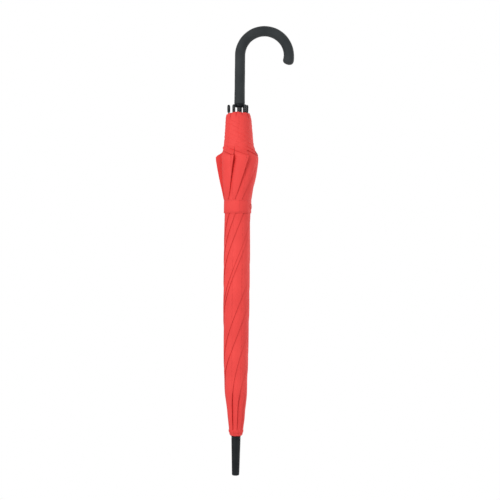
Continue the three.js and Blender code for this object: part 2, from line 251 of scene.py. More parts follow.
# ---- materials ----
class Look:
    """A node material round one Principled shader, whose uniform values sit on its own sockets."""

    def __init__(self, name, **uniform):
        self.material = bpy.data.materials.new(name)
        self.material.use_nodes = True
        self.tree = self.material.node_tree
        self.shader = next(n for n in self.tree.nodes if n.type == "BSDF_PRINCIPLED")
        for socket, value in uniform.items():
            self.shader.inputs[socket.replace("_", " ")].default_value = value

    def node(self, kind, settings=(), **inputs):
        made = self.tree.nodes.new("ShaderNode" + kind)
        for setting, value in dict(settings).items():
            setattr(made, setting, value)
        for socket, value in inputs.items():
            target = made.inputs[socket.replace("_", " ")]
            if isinstance(value, bpy.types.NodeSocket):
                self.tree.links.new(value, target)
            else:
                target.default_value = value
        return made

    def place(self, stretch=(1, 1, 1)):
        """Object coordinates in metres, stretched along the axes."""
        source = self.node("TexCoord").outputs["Object"]
        return self.node("Mapping", Vector=source, Scale=stretch).outputs["Vector"]

    def ramp(self, factor, dark, light):
        made = self.node("ValToRGB", Fac=factor)
        made.color_ramp.elements[0].position = 0.3
        made.color_ramp.elements[0].color = (*dark, 1)
        made.color_ramp.elements[1].position = 0.7
        made.color_ramp.elements[1].color = (*light, 1)
        return made.outputs["Color"]

    def between(self, factor, lowest, highest):
        settings = {"To_Min": lowest, "To_Max": highest}
        return self.node("MapRange", Value=factor, **settings).outputs["Result"]

    def connect(self, value, socket):
        self.tree.links.new(value, self.shader.inputs[socket])


def grained(name, dark, light, roughness, grain, height, stretch=(1, 1, 1), **uniform):
    """A hard material: grain is the size of its surface texture in mm and height the texture's depth."""
    look = Look(name, **uniform)
    place = look.place(stretch)
    wide = look.node("TexNoise", Vector=place, Scale=60.0, Detail=4.0).outputs["Fac"]
    fine = look.node("TexNoise", Vector=place, Scale=1000 / grain, Detail=3.0).outputs["Fac"]
    look.connect(look.ramp(wide, dark, light), "Base Color")
    look.connect(look.between(fine, roughness[0], roughness[1]), "Roughness")
    bump = look.node("Bump", Height=fine, Strength=0.6, Distance=height * MM)
    look.connect(bump.outputs["Normal"], "Normal")
    return look.material


def foam():
    """Matt closed-cell foam: fine pores under a soft skin."""
    look = Look("foam_grip", Sheen_Weight=0.08, Sheen_Roughness=0.5, Specular_IOR_Level=0.25)
    place = look.place()
    wide = look.node("TexNoise", Vector=place, Scale=35.0, Detail=5.0).outputs["Fac"]
    cells = look.node("TexVoronoi", Vector=place, Scale=2600.0).outputs["Distance"]
    grain = look.node("TexNoise", Vector=place, Scale=900.0, Detail=4.0).outputs["Fac"]
    look.connect(look.ramp(wide, (0.018, 0.022, 0.024), (0.030, 0.035, 0.037)), "Base Color")
    look.connect(look.between(grain, 0.62, 0.86), "Roughness")
    pores = look.node("Bump", Height=cells, Strength=0.5, Distance=0.06 * MM)
    skin = look.node("Bump", Height=grain, Strength=0.5, Distance=0.1 * MM, Normal=pores.outputs["Normal"])
    look.connect(skin.outputs["Normal"], "Normal")
    return look.material


THREAD_PITCH = 0.35     # of the canopy's plain weave, mm


def cloth():
    """Plain woven polyester: crossing threads and a soft sheen, with painted shade darkening the colour in
    the creases.
    """
    look = Look("red_cloth", Sheen_Weight=0.12, Sheen_Roughness=0.35, Specular_IOR_Level=0.3)
    look.shader.inputs["Sheen Tint"].default_value = (1, 0.12, 0.1, 1)
    place = look.node("Attribute", {"attribute_name": "cloth_place"}).outputs["Vector"]
    crease = look.node("Attribute", {"attribute_name": "crease"}).outputs["Fac"]
    threads = []
    for direction in ("X", "Y"):
        settings = {"wave_type": "BANDS", "bands_direction": direction}
        scale = 2 * math.pi / 20 / (THREAD_PITCH * MM)
        threads.append(look.node("TexWave", settings, Vector=place, Scale=scale).outputs["Fac"])
    weave = look.node("Math", {"operation": "ADD"})
    look.tree.links.new(threads[0], weave.inputs[0])
    look.tree.links.new(threads[1], weave.inputs[1])
    wide = look.node("TexNoise", Vector=place, Scale=28.0, Detail=5.0).outputs["Fac"]
    slubs = look.node("Mapping", Vector=place, Scale=(900, 60, 1)).outputs["Vector"]
    streaks = look.node("TexNoise", Vector=slubs, Scale=1.0, Detail=3.0).outputs["Fac"]
    plain = look.ramp(wide, (0.765, 0.052, 0.047), (0.84, 0.064, 0.057))
    threaded = look.node("Mix", {"data_type": "RGBA", "blend_type": "MULTIPLY"})
    look.tree.links.new(plain, threaded.inputs[6])
    threaded.inputs[7].default_value = (0.93, 0.88, 0.87, 1)
    look.tree.links.new(streaks, threaded.inputs[0])
    # Painted shade: the crease attribute darkens the colour towards this dark red where shade falls in
    # folds, hollows and recesses.
    painted_crease_shade = look.node("Mix", {"data_type": "RGBA", "blend_type": "MULTIPLY"})
    look.tree.links.new(threaded.outputs[2], painted_crease_shade.inputs[6])
    painted_crease_shade.inputs[7].default_value = (0.74, 0.42, 0.44, 1)
    look.tree.links.new(crease, painted_crease_shade.inputs[0])
    look.connect(painted_crease_shade.outputs[2], "Base Color")
    look.connect(look.between(streaks, 0.58, 0.74), "Roughness")
    fold = look.node("Bump", Height=wide, Strength=0.35, Distance=0.8 * MM)
    threads_bump = look.node(
        "Bump", Height=weave.outputs["Value"], Strength=0.35, Distance=0.05 * MM,
        Normal=fold.outputs["Normal"],
    )
    look.connect(threads_bump.outputs["Normal"], "Normal")
    return look.material


FOAM = foam()
CLOTH = cloth()
MOULDED = grained("moulded_plastic", (0.006, 0.008, 0.010), (0.010, 0.013, 0.015), (0.4, 0.55), 0.5, 0.03,
                  Specular_IOR_Level=0.18)
GLOSSY = grained("gloss_plastic", (0.006, 0.008, 0.010), (0.011, 0.014, 0.016), (0.2, 0.32), 1.2, 0.01,
                 Specular_IOR_Level=0.3)
PAINTED = grained("black_steel", (0.010, 0.011, 0.012), (0.016, 0.017, 0.018), (0.24, 0.4), 0.8, 0.015,
                  (1, 1, 0.3), Coat_Weight=0.3)
BRIGHT = grained("bright_steel", (0.20, 0.205, 0.21), (0.32, 0.325, 0.33), (0.4, 0.55), 0.3, 0.006,
                 (1, 1, 0.15), Metallic=1.0)
RESIN = grained("fibreglass", (0.010, 0.011, 0.013), (0.024, 0.025, 0.027), (0.26, 0.42), 0.4, 0.02,
                (1, 1, 0.03))
STUD = grained("red_plastic", (0.62, 0.05, 0.043), (0.75, 0.07, 0.06), (0.25, 0.36), 1.2, 0.01)
THREAD = grained("red_thread", (0.62, 0.05, 0.042), (0.8, 0.075, 0.062), (0.5, 0.75), 0.15, 0.04,
                 Sheen_Weight=0.3)


# ---- camera, light and floor ----
LENS = 85
SENSOR = 36
VIEW_HEIGHT = 0.924       # metres across the square view at the umbrella
VIEW_CENTRE = (0.0222, 0.4165)   # x and z of the middle of the view
ROLL = math.radians(0.62)


def camera():
    data = bpy.data.cameras.new("camera")
    data.lens = LENS
    data.sensor_width = SENSOR
    eye = bpy.data.objects.new("camera", data)
    bpy.context.scene.collection.objects.link(eye)
    distance = VIEW_HEIGHT * LENS / SENSOR
    right = Vector((math.cos(ROLL), 0, math.sin(ROLL)))
    up = Vector((-math.sin(ROLL), 0, math.cos(ROLL)))
    back = Vector((0, -1, 0))
    turn = Matrix((right, up, back)).transposed().to_4x4()
    eye.matrix_world = Matrix.Translation((VIEW_CENTRE[0], -distance, VIEW_CENTRE[1])) @ turn
    bpy.context.scene.camera = eye


def softbox(name, place, aim, size, power):
    data = bpy.data.lights.new(name, "AREA")
    data.shape = "RECTANGLE"
    data.size, data.size_y = size
    data.energy = power
    lamp = bpy.data.objects.new(name, data)
    bpy.context.scene.collection.objects.link(lamp)
    lamp.location = place
    lamp.rotation_mode = "QUATERNION"
    lamp.rotation_quaternion = (Vector(aim) - Vector(place)).to_track_quat("-Z", "Y")


def studio():
    scene = bpy.context.scene
    scene.view_settings.view_transform = "Standard"
    scene.view_settings.look = "None"
    world = bpy.data.worlds.new("studio")
    world.use_nodes = True
    scene.world = world
    tree = world.node_tree
    surround = tree.nodes["Background"]
    surround.inputs["Color"].default_value = (1, 1, 1, 1)
    surround.inputs["Strength"].default_value = 0.56
    backdrop = tree.nodes.new("ShaderNodeBackground")
    backdrop.inputs["Color"].default_value = (1, 1, 1, 1)
    backdrop.inputs["Strength"].default_value = 1.0
    path = tree.nodes.new("ShaderNodeLightPath")
    mix = tree.nodes.new("ShaderNodeMixShader")
    tree.links.new(path.outputs["Is Camera Ray"], mix.inputs["Fac"])
    tree.links.new(surround.outputs["Background"], mix.inputs[1])
    tree.links.new(backdrop.outputs["Background"], mix.inputs[2])
    tree.links.new(mix.outputs["Shader"], tree.nodes["World Output"].inputs["Surface"])
    middle = (0, 0, 0.42)
    softbox("key", (-1.3, -1.5, 1.1), middle, (1.0, 1.6), 26)
    softbox("fill", (1.6, -1.2, 0.6), middle, (0.8, 1.4), 9)
    softbox("rim", (1.3, 1.1, 0.5), middle, (0.5, 1.6), 9)


FLOOR_Z = -0.5
FLOOR_SIDE = 3.0


def floor():
    half = FLOOR_SIDE / 2
    mesh = bpy.data.meshes.new("studio_floor")
    corners = ((-half, -half), (half, -half), (half, half), (-half, half))
    mesh.from_pydata([(x, y, FLOOR_Z) for x, y in corners], [], [(0, 1, 2, 3)])
    ground = bpy.data.objects.new("studio_floor", mesh)
    bpy.context.scene.collection.objects.link(ground)
    look = Look("studio_floor", Roughness=0.9)
    wide = look.node("TexNoise", Vector=look.place(), Scale=3.0).outputs["Fac"]
    look.connect(look.ramp(wide, (0.88, 0.88, 0.87), (0.9, 0.9, 0.89)), "Base Color")
    mesh.materials.append(look.material)


camera()
studio()
floor()


# ---- handle ----
CROOK_PAST_LEVEL = math.radians(13.5)
GRIP_END_DOME = 6.5
GRIP_FLARE = 0.3


def crook_place(run):
    """The point and direction on the handle's middle line, a distance up from the grip's lower end."""
    leg = CROOK_CENTRE_Z - GRIP_BOTTOM
    if run <= leg:
        return Vector((0, 0, GRIP_BOTTOM + run)), Vector((0, 0, 1))
    turn = (run - leg) / CROOK_RADIUS
    end = min(turn, math.pi + CROOK_PAST_LEVEL)
    middle = Vector((CROOK_RADIUS, 0, CROOK_CENTRE_Z))
    point = middle + CROOK_RADIUS * Vector((-math.cos(end), 0, math.sin(end)))
    way = Vector((math.sin(end), 0, math.cos(end)))
    return point + way * (turn - end) * CROOK_RADIUS, way


def handle():
    length = CROOK_CENTRE_Z - GRIP_BOTTOM + CROOK_RADIUS * (math.pi + CROOK_PAST_LEVEL)
    stations = [(-0.2, 5.0), (-0.2, GRIP_RADIUS - 0.5), (0.1, GRIP_RADIUS), (0.9, GRIP_RADIUS + 0.3)]
    for run in np.arange(2.5, length - 1.5, 2.5):
        ripple = 0.05 * math.sin(run / 7) + 0.04 * math.sin(run / 3.1 + 1)
        ripple += 0.55 * math.exp(-((length - 1 - run) / 7) ** 2)
        stations.append((run, GRIP_RADIUS + GRIP_FLARE * math.exp(-run / 16) - 0.05 + ripple))
    for angle in np.linspace(0, math.pi / 2, 9):
        swell = (GRIP_RADIUS + 0.45) * math.cos(angle) ** 0.9
        stations.append((length - 0.8 + GRIP_END_DOME * math.sin(angle), swell))
    stations[-1] = (stations[-1][0], 0)
    rings = [(*crook_place(run), radius) for run, radius in stations]
    grip = build("foam_crook", [swept(rings, (0, 1, 0), 40)], FOAM, "foam_grip", sharp=60)
    fixed(grip, "root", "crook_grip")

    bottom = low("grip_collar").z
    top = high("grip_collar").z
    profile = [
        (HUB_BORE, bottom), (7.6, bottom), (8.6, bottom + 0.5), (9.0, bottom + 1.4),
        (9.0, bottom + 2.4), (9.5, bottom + 3.0), (9.7, bottom + 3.8), (9.7, top - 0.3), (9.4, top + 0.1),
        (HUB_BORE, top + 0.1),
    ]
    collar = build("handle_collar", [turned(profile, 64)], MOULDED, "moulded_plastic", edge=0.15)
    fixed(collar, "root", "grip_collar")


# ---- shaft, ferrule, notch and runner ----
FERRULE_TAPER = 1.8       # how much slimmer the ferrule is at its foot
SOCKET_FLOOR_Z = 22       # the bottom of the hole that the shaft stands in


def ferrule():
    end = FERRULE_RADIUS - FERRULE_TAPER
    profile = [(0, 0), (end - 1.9, 0), (end - 1.1, 0.25), (end - 0.45, 0.9), (end, 2.3)]
    groove = FERRULE_TOP - 4.2
    for height in (8, 20, 34, 48, 60, groove):
        profile.append((end + FERRULE_TAPER * height / FERRULE_TOP, height))
    profile += [
        (FERRULE_RADIUS - 0.45, groove + 0.3), (FERRULE_RADIUS - 0.45, groove + 1.1),
        (FERRULE_RADIUS, groove + 1.4), (FERRULE_RADIUS, FERRULE_TOP - 0.6),
        (FERRULE_RADIUS - 0.6, FERRULE_TOP), (HUB_BORE, FERRULE_TOP), (HUB_BORE, SOCKET_FLOOR_Z),
        (0, SOCKET_FLOOR_Z),
    ]
    piece = build("ferrule_spike", [turned(profile, 64, closed=False)], MOULDED, "moulded_plastic",
                  edge=0.15)
    fixed(piece, "root", "ferrule")


CATCH_WINDOWS = {"bottom_catch": -1, "top_catch": 1}      # which way each leaf runs from its shoulder
CATCH_SHOULDER = 6        # from the leaf's free end to its shoulder


def shaft():
    bottom = low("shaft_tube").z
    top = high("shaft_tube").z
    bore = SHAFT_RADIUS - 0.8
    profile = [(bore, bottom), (SHAFT_RADIUS, bottom), (SHAFT_RADIUS, top), (bore, top)]
    piece = build("shaft", [turned(profile, 48)], PAINTED, "black_steel")
    holes = []
    for node, towards in CATCH_WINDOWS.items():
        shoulder = high(node).z - CATCH_SHOULDER if towards < 0 else low(node).z + CATCH_SHOULDER
        ends = sorted([shoulder - 2 * towards, shoulder + 16 * towards])
        window = slab((2, -1.25, ends[0]), (6, 1.25, ends[1]))
        holes.append(about_z(window, CATCH_AZIMUTH))
    for node, radius, azimuth in (("top_stop_pin", 1.3, CATCH_AZIMUTH + 90), ("handle_pin", 1.1, 90)):
        middle = (low(node) + high(node)) / 2
        holes.append(bar(middle - 12 * outward(azimuth), middle + 12 * outward(azimuth), radius, 16))
    cut(piece, holes)
    fixed(piece, "root", "shaft_tube")


def notch():
    bottom = low("top_notch").z
    top = high("top_notch").z
    outer = high("top_notch").x
    profile = [
        (HUB_BORE, bottom), (outer - 0.5, bottom), (outer, bottom + 0.5), (outer, top - 1.2),
        (outer - 1.0, top), (HUB_BORE, top),
    ]
    piece = build("top_notch_hub", [turned(profile, 64)], MOULDED, "moulded_plastic")
    slots = [about_z(slab((5.6, -1.3, bottom + 3.8), (12, 1.3, top + 1)), RIB_AZIMUTHS[n]) for n in RIBS]
    cut(piece, slots)
    fixed(piece, "root", "top_notch")


def wire_ring(name, node, body):
    thick = (high(node).z - low(node).z) / 2
    middle = (high(node).z + low(node).z) / 2
    radius = high(node).x - thick
    profile = [(radius + thick * math.cos(t), middle + thick * math.sin(t))
               for t in np.linspace(0, 2 * math.pi, 10, endpoint=False)]
    fixed(build(name, [turned(profile, 64)], BRIGHT, "bright_steel"), body, node)


def runner():
    bottom = low("runner_sleeve").z
    top = high("runner_sleeve").z
    flange = 10.6
    neck = 6.5
    bore = SHAFT_RADIUS + 0.5
    profile = [
        (bore, bottom), (flange - 0.9, bottom), (flange, bottom + 0.9), (flange, bottom + 8.4),
        (flange - 0.9, bottom + 9.4), (neck + 0.8, bottom + 11.5), (neck, bottom + 13.6),
        (neck - 0.15, bottom + 24), (neck, top - 5.2), (neck + 1.5, top - 3), (neck + 1.5, top - 0.6),
        (neck + 0.9, top), (bore, top),
    ]
    piece = build("runner", [turned(profile, 64)], MOULDED, "moulded_plastic")
    slots = []
    for n in RIBS:
        pivot = STRETCHER_PIVOTS[n]
        slot = slab((5.45, 1.6, bottom - 1), (12, 4.4, pivot.z + 2.2))
        slots.append(about_z(slot, RIB_AZIMUTHS[n]))
    slots.append(about_z(slab((4, -1.4, bottom - 1), (6.6, 1.4, top + 1)), CATCH_AZIMUTH))
    cut(piece, slots)
    fixed(piece, "runner", "runner_sleeve")


# ---- ribs, tips and stretchers ----
def rib_frame(n):
    """The direction along a rolled rib, and the directions sideways from it and out from it."""
    way = RIB_WAYS[n]
    side = Matrix.Rotation(math.pi / 2, 3, "Z") @ outward(RIB_AZIMUTHS[n])
    out = side.cross(way).normalized()
    return way, side, out


def along_rib(n, distance):
    return RIB_HINGES[n] + RIB_WAYS[n] * distance


def on_rib(n, distance, shell):
    """A shell drawn with X sideways, Y out and Z along the rib, placed at a distance along it."""
    way, side, out = rib_frame(n)
    side = out.cross(way).normalized()
    turn = Matrix((side, out, way)).transposed().to_4x4()
    return placed(shell, Matrix.Translation(along_rib(n, distance)) @ turn)


ROD_RADIUS = 1.4
TIP_LENGTH = 14.2


def rib(n):
    side = rib_frame(n)[1]
    end = (RIB_TIPS[n] - RIB_HINGES[n]).length
    rod = build(f"rib_rod_{n}", [bar(along_rib(n, 9), along_rib(n, end), ROD_RADIUS, 12, 0.3)],
                RESIN, "fibreglass")
    fixed(rod, f"rib_{n}", f"rib_{n}")
    joint = STRETCHER_ALONG_RIB
    hinge = RIB_HINGES[n]
    fittings = [
        bar(hinge - side, hinge + side, 1.7, 16),
        on_rib(n, 0, slab((-0.9, -1.2, 0), (0.9, 1.2, 10))),
        on_rib(n, 8, turned([(1.5, 0), (1.9, 0.4), (1.9, 9), (1.5, 9.6)], 16)),
        on_rib(n, joint - 7, turned([(1.45, 0), (1.9, 0.5), (1.9, 13.5), (1.45, 14)], 16)),
        on_rib(n, joint, slab((-1.5, -1.9, -5), (-1.0, 2.4, 5))),
        on_rib(n, joint, slab((1.0, -1.9, -5), (1.5, 2.4, 5))),
    ]
    steel = build(f"rib_fittings_{n}", fittings, PAINTED, "black_steel", edge=0.12)
    fixed(steel, f"rib_{n}")
    base = end - TIP_LENGTH / 2
    cap_profile = [
        (1.5, 0), (2.4, 0), (2.75, 0.4), (2.75, 1.4), (2.5, 2.0), (2.5, 2.8), (2.75, 3.4), (2.75, 10.2),
        (2.6, 11.8), (2.1, 13.2), (1.2, 13.95), (0, TIP_LENGTH), (0, 12), (1.5, 12),
    ]
    cap = on_rib(n, base, turned(cap_profile, 28))
    tip = build(f"rib_end_cap_{n}", [cap], GLOSSY, "gloss_plastic", edge=0.1)
    fixed(tip, f"rib_{n}", f"rib_tip_{n}")


def stretcher(n):
    side = rib_frame(n)[1]
    start = STRETCHER_PIVOTS[n]
    end = along_rib(n, STRETCHER_ALONG_RIB) + side * STRETCHER_BESIDE_RIB
    along = (end - start).normalized()
    face = side.cross(along).normalized()
    turn = Matrix((side, face, along)).transposed().to_4x4()
    at_start = Matrix.Translation(start) @ turn
    length = (end - start).length
    channel = [
        slab((-1.0, -0.9, 4), (1.0, -0.5, length - 4)),
        slab((-1.05, -0.9, 4), (-0.7, 0.9, length - 4)),
        slab((0.7, -0.9, 4), (1.05, 0.9, length - 4)),
        slab((-0.45, -1.0, 0), (0.45, 1.0, 12)),
        slab((-0.45, -1.0, length - 12), (0.45, 1.0, length)),
    ]
    shells = [placed(shell, at_start) for shell in channel]
    shells.append(bar(end - side, end + side, 1.8, 16))
    shells.append(bar(start - side, start + side, 1.7, 16))
    piece = build(f"stretcher_bar_{n}", shells, PAINTED, "black_steel", edge=0.1)
    fixed(piece, f"stretcher_{n}", f"stretcher_{n}")


# ---- the rolled canopy ----
# Outline of the roll: height and outer radius.
OUTLINE = (
    (76, 11.5), (83, 13.2), (91, 14.3), (105, 16.2), (120, 17.4), (135, 19.2), (150, 20.6), (179, 21.4),
    (194, 22.3), (268, 23.6), (324, 24.3), (401, 24.4), (453, 24.1), (483, 24.1), (497, 24.1),
    (505, 24.4), (507, 25.1), (509, 25.7), (515, 26.7), (527, 28.8), (542, 31.8), (557, 34.4),
    (572, 36.6), (583, 37.9), (587, 38.0),
    (590, 36.6), (596, 32.6), (602, 29.4), (609, 27.4), (623, 25.7), (638, 24.6), (652, 23.6), (660, 22.8),
    (665, 21.8), (669, 20.2),
)
# Azimuth of each flap's fold below the strap, above it, at the flare's corners, and at the crown.
FOLDS_BELOW_STRAP = (-39, -8, 27, 78, 92, 166, 211, 260)
FOLDS_ABOVE_STRAP = (-46, -13, 17, 62, 110, 160, 215, 270)
FOLDS_AT_FLARE = (-13, 31, 75, 112, 155, 195, 232, 270)
# How soon each fold swings over to its corner above the strap; 1 is a steady swing.
FLARE_BENDS = (0.52, 0.7, 0.9, 1, 1, 1, 1, 1)
FLARE_CORNERS = (-90, -13, 31, 75, 112, 155, 195, 232)
FOLDS_AT_CROWN = (11, 46, 85, 130, 172, 216, 252, 336)
SQUEEZE = 0.9            # how far the strap presses the roll in, mm
TWIST = 0.92             # degrees per mm that the folds wind round the body
FLARE_CORNER_Z = 588
CROWN_FOLDS_Z = 130
BODY_FOLDS_Z = 240


def fold_azimuths(z):
    """The eight folds' azimuths at a height, in order round the roll."""
    flare = np.array(FOLDS_AT_FLARE, float)
    if z >= FLARE_CORNER_Z:
        return flare
    above = np.array(FOLDS_ABOVE_STRAP, float)
    if z >= STRAP_TOP:
        share = (z - STRAP_TOP) / (FLARE_CORNER_Z - STRAP_TOP)
        return above + share ** np.array(FLARE_BENDS) * (flare - above)
    below = np.array(FOLDS_BELOW_STRAP, float)
    if z >= STRAP_BOTTOM:
        share = (z - STRAP_BOTTOM) / (STRAP_TOP - STRAP_BOTTOM)
        return below + share * (above - below)
    wound = below - TWIST * (STRAP_BOTTOM - z)
    if z >= BODY_FOLDS_Z:
        return wound
    height = BODY_FOLDS_Z - CROWN_FOLDS_Z
    start = below - TWIST * (STRAP_BOTTOM - BODY_FOLDS_Z)
    end = np.array(FOLDS_AT_CROWN, float)
    end -= 360 * np.round((end - start + 90) / 360)
    end = np.array([e - 360 if e > s else e for e, s in zip(end, start)])
    slope_end = 0.2
    if z < CROWN_FOLDS_Z:
        return end - slope_end * 0.5 * (CROWN_FOLDS_Z - z)
    t = (BODY_FOLDS_Z - z) / height
    curve = (1 + 2 * t) * (1 - t) ** 2 * start + t * t * (3 - 2 * t) * end
    curve += t * (1 - t) ** 2 * height * -TWIST + t * t * (t - 1) * height * -slope_end
    return curve


# How far each fold stands over the cloth beside it: heights and steps, mm.
STEPS = (
    (80, 0.6), (92, 2.4), (104, 3.6), (140, 3.4), (160, 1.6), (190, 1.25), (480, 1.25), (509, 1.3),
    (530, 2.8), (560, 5.6), (582, 7.8), (587, 6.0), (591, 1.6), (594, 0.4), (615, 0.4), (672, 0.4),
)
# The front left pleat stands further out than the others.
PROUD_FOLD = 0
PROUD_STEPS = ((509, 0), (560, 2.4), (586, 3.8), (590, 3.4), (594, 1.2), (597, 0))
# The roll is hollow at the left just over the flare: heights and depths.
HOLLOW_AZIMUTH = -88
HOLLOW_STEPS = ((588, 0), (592, 2.4), (596, 3.4), (600, 2.0), (606, 0.6), (614, 0))
# How far each panel runs on under the fold beside it: heights and degrees.
TUCKS = ((90, 0), (105, 2.5), (140, 2.5), (160, 0.8), (509, 0.5), (586, 1.2), (594, 0))
FOLD_SHARES = (0, 0.015, 0.04, 0.08, 0.13, 0.19, 0.26, 0.34, 0.43, 0.53, 0.63, 0.73, 0.82, 0.9, 0.96, 1)


# How far the roll lies to the left of the shaft's axis: height and distance.
LEAN = (
    (76, 0), (105, -0.5), (150, -1.1), (210, -1.6), (330, -1.9), (480, -1.8), (560, -1.5), (610, -0.9),
    (650, -1.3), (672, -2.2),
)


def on_roll(azimuth, radius, z):
    """A point of the rolled cloth, whose turns aren't quite centred on the shaft."""
    ray = outward(azimuth) * radius
    return ray.x + float(smooth_curve(z, LEAN)), ray.y, z


def hollow(azimuth, z):
    """How far the surface is pressed in at the left, over the flare."""
    beside = (azimuth - HOLLOW_AZIMUTH + 180) % 360 - 180
    return float(np.interp(z, *zip(*HOLLOW_STEPS))) * math.exp(-(beside / 34) ** 2)


def unwound(folds):
    return np.concatenate([folds, [folds[0] + 360]])


def skin_row(z):
    """One turn of the roll's surface at a height: azimuths, radii and how much painted shade darkens each
    point beside a fold.
    """
    folds = fold_azimuths(z)
    turn = int(np.argmin(np.abs(np.mod(folds - FLARE_CORNERS[PROUD_FOLD] + 180, 360) - 180)))
    edges = unwound(folds)
    pressed = smooth_step(z, STRAP_BOTTOM, STRAP_BOTTOM + 5) * smooth_step(z, STRAP_TOP, STRAP_TOP - 5)
    radius = float(smooth_curve(z, OUTLINE)) - SQUEEZE * float(pressed)
    step = float(smooth_curve(z, STEPS))
    proud = float(np.interp(z, *zip(*PROUD_STEPS)))
    sharpness = float(np.interp(z, (160, 520, 586), (2.4, 2.6, 2.2)))
    under = math.degrees(0.25 / radius) + float(np.interp(z, *zip(*TUCKS)))
    painted_shade_level = float(np.interp(z, (480, 520), (0.65, 0.42)))
    azimuths = []
    radii = []
    painted_shades = []
    for k in range(8):
        start, end = edges[k] - under, edges[k + 1]
        left = step + (proud if k == turn and z > STRAP_TOP else 0)
        right = proud if (k + 1) % 8 == turn and z > STRAP_TOP else 0
        for u in FOLD_SHARES:
            azimuth = start + u * (end - start)
            azimuths.append(azimuth)
            shape = left * (1 - u) ** sharpness + hollow(azimuth, z)
            radii.append(radius - shape + right * u ** 5)
            gap = u * math.radians(end - start) * radius
            # Painted shade in the hollow beside each fold, strongest right next to the fold.
            painted_shades.append(math.exp(-gap / (0.4 + 0.9 * left)) * min(painted_shade_level, 0.5 * left))
        bead = math.degrees(0.22 / radius)
        azimuths.append(end + bead)
        radii.append(radius + right - 0.3 - hollow(end, z))
        painted_shades.append(0)
    return azimuths, radii, painted_shades


SKIN_BOTTOM = 80
TAILS_BOTTOM = 589.6
HEM_DIP = 49             # how much lower the hem is halfway between two ribs, hidden in the tails


def skin_heights():
    stretches = ((SKIN_BOTTOM, 160, 2.5), (160, 480, 4), (480, 512, 4), (512, 584, 3), (584, TUCK_Z, 1.6))
    heights = []
    for start, end, pitch in stretches:
        heights += list(np.arange(start, end - 0.1, pitch))
    return heights + [FLARE_CORNER_Z] + list(np.linspace(TUCK_Z, HEM_Z, 12))


def grid(rows):
    """Faces of a grid of rows of equal length, each going all the way round."""
    count = len(rows[0])
    faces = []
    for row in range(len(rows) - 1):
        for column in range(count):
            beside = (column + 1) % count
            faces.append((row * count + column, row * count + beside,
                          (row + 1) * count + beside, (row + 1) * count + column))
    return faces


def cloth_mesh(name, points, faces, painted_shades):
    """A sheet with the strength of its painted crease shade kept on its points."""
    mesh = bpy.data.meshes.new(name)
    mesh.from_pydata([tuple(Vector(p) * MM) for p in points], [], faces)
    painted_shade_level = mesh.attributes.new("crease", "FLOAT", "POINT")
    painted_shade_level.data.foreach_set("value", np.array(painted_shades, np.float32))
    return mesh


def split_round(mesh, azimuths):
    """Cuts a mesh at azimuths that come in opposite pairs, and gives the sectors between them."""
    whole = bmesh.new()
    whole.from_mesh(mesh)
    bmesh.ops.remove_doubles(whole, verts=whole.verts, dist=0.01 * MM)
    bmesh.ops.dissolve_degenerate(whole, edges=whole.edges, dist=0.01 * MM)
    for azimuth in azimuths[: len(azimuths) // 2]:
        across = outward(azimuth + 90)
        everything = whole.verts[:] + whole.edges[:] + whole.faces[:]
        bmesh.ops.bisect_plane(whole, geom=everything, dist=0.002 * MM, plane_co=(0, 0, 0), plane_no=across)
    whole.to_mesh(mesh)
    sectors = []
    for k, start in enumerate(azimuths):
        part = whole.copy()
        unwanted = []
        for face in part.faces:
            middle = face.calc_center_median()
            azimuth = math.degrees(math.atan2(middle.x, -middle.y))
            if (azimuth - start) % 360 >= 360 / len(azimuths):
                unwanted.append(face)
        bmesh.ops.delete(part, geom=unwanted, context="FACES")
        loose = [v for v in part.verts if not v.link_faces]
        bmesh.ops.delete(part, geom=loose, context="VERTS")
        sector = bpy.data.meshes.new(f"{mesh.name}_{k + 1}")
        part.to_mesh(sector)
        part.free()
        sectors.append(sector)
    whole.free()
    return sectors


CLOTH_THICKNESS = 0.4
CLOTH_SHARP = 42         # degrees between faces from which a fold looks sharp


def hang(mesh, name, thickness=CLOTH_THICKNESS):
    """An object of cloth from a mesh, with its thickness and its place on the roll for the weave."""
    points = np.array([v.co for v in mesh.vertices], float)
    middle = points.mean(0)
    centre = math.atan2(middle[0], -middle[1])
    azimuth = np.mod(np.arctan2(points[:, 0], -points[:, 1]) - centre + math.pi, 2 * math.pi) - math.pi
    radius = np.hypot(points[:, 0], points[:, 1])
    place = mesh.attributes.new("cloth_place", "FLOAT_VECTOR", "POINT")
    flat = np.stack([azimuth * radius.mean(), points[:, 2], radius], axis=1)
    place.data.foreach_set("vector", flat.astype(np.float32).ravel())
    mesh.shade_smooth()
    mesh.set_sharp_from_angle(angle=math.radians(CLOTH_SHARP))
    mesh.materials.append(CLOTH)
    piece = bpy.data.objects.new(name, mesh)
    bpy.context.scene.collection.objects.link(piece)
    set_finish(piece, "red_cloth")
    solidify = piece.modifiers.new("thickness", "SOLIDIFY")
    solidify.thickness = thickness * MM
    solidify.offset = -1
    return piece


# The flat sizes are those of the one turn of cloth that is modelled, not of the whole cut panels.
SKIN_TUCK = 1.9          # how far the roll's surface goes in under the wound edge
TUCK_Z = 604             # where it is all the way in


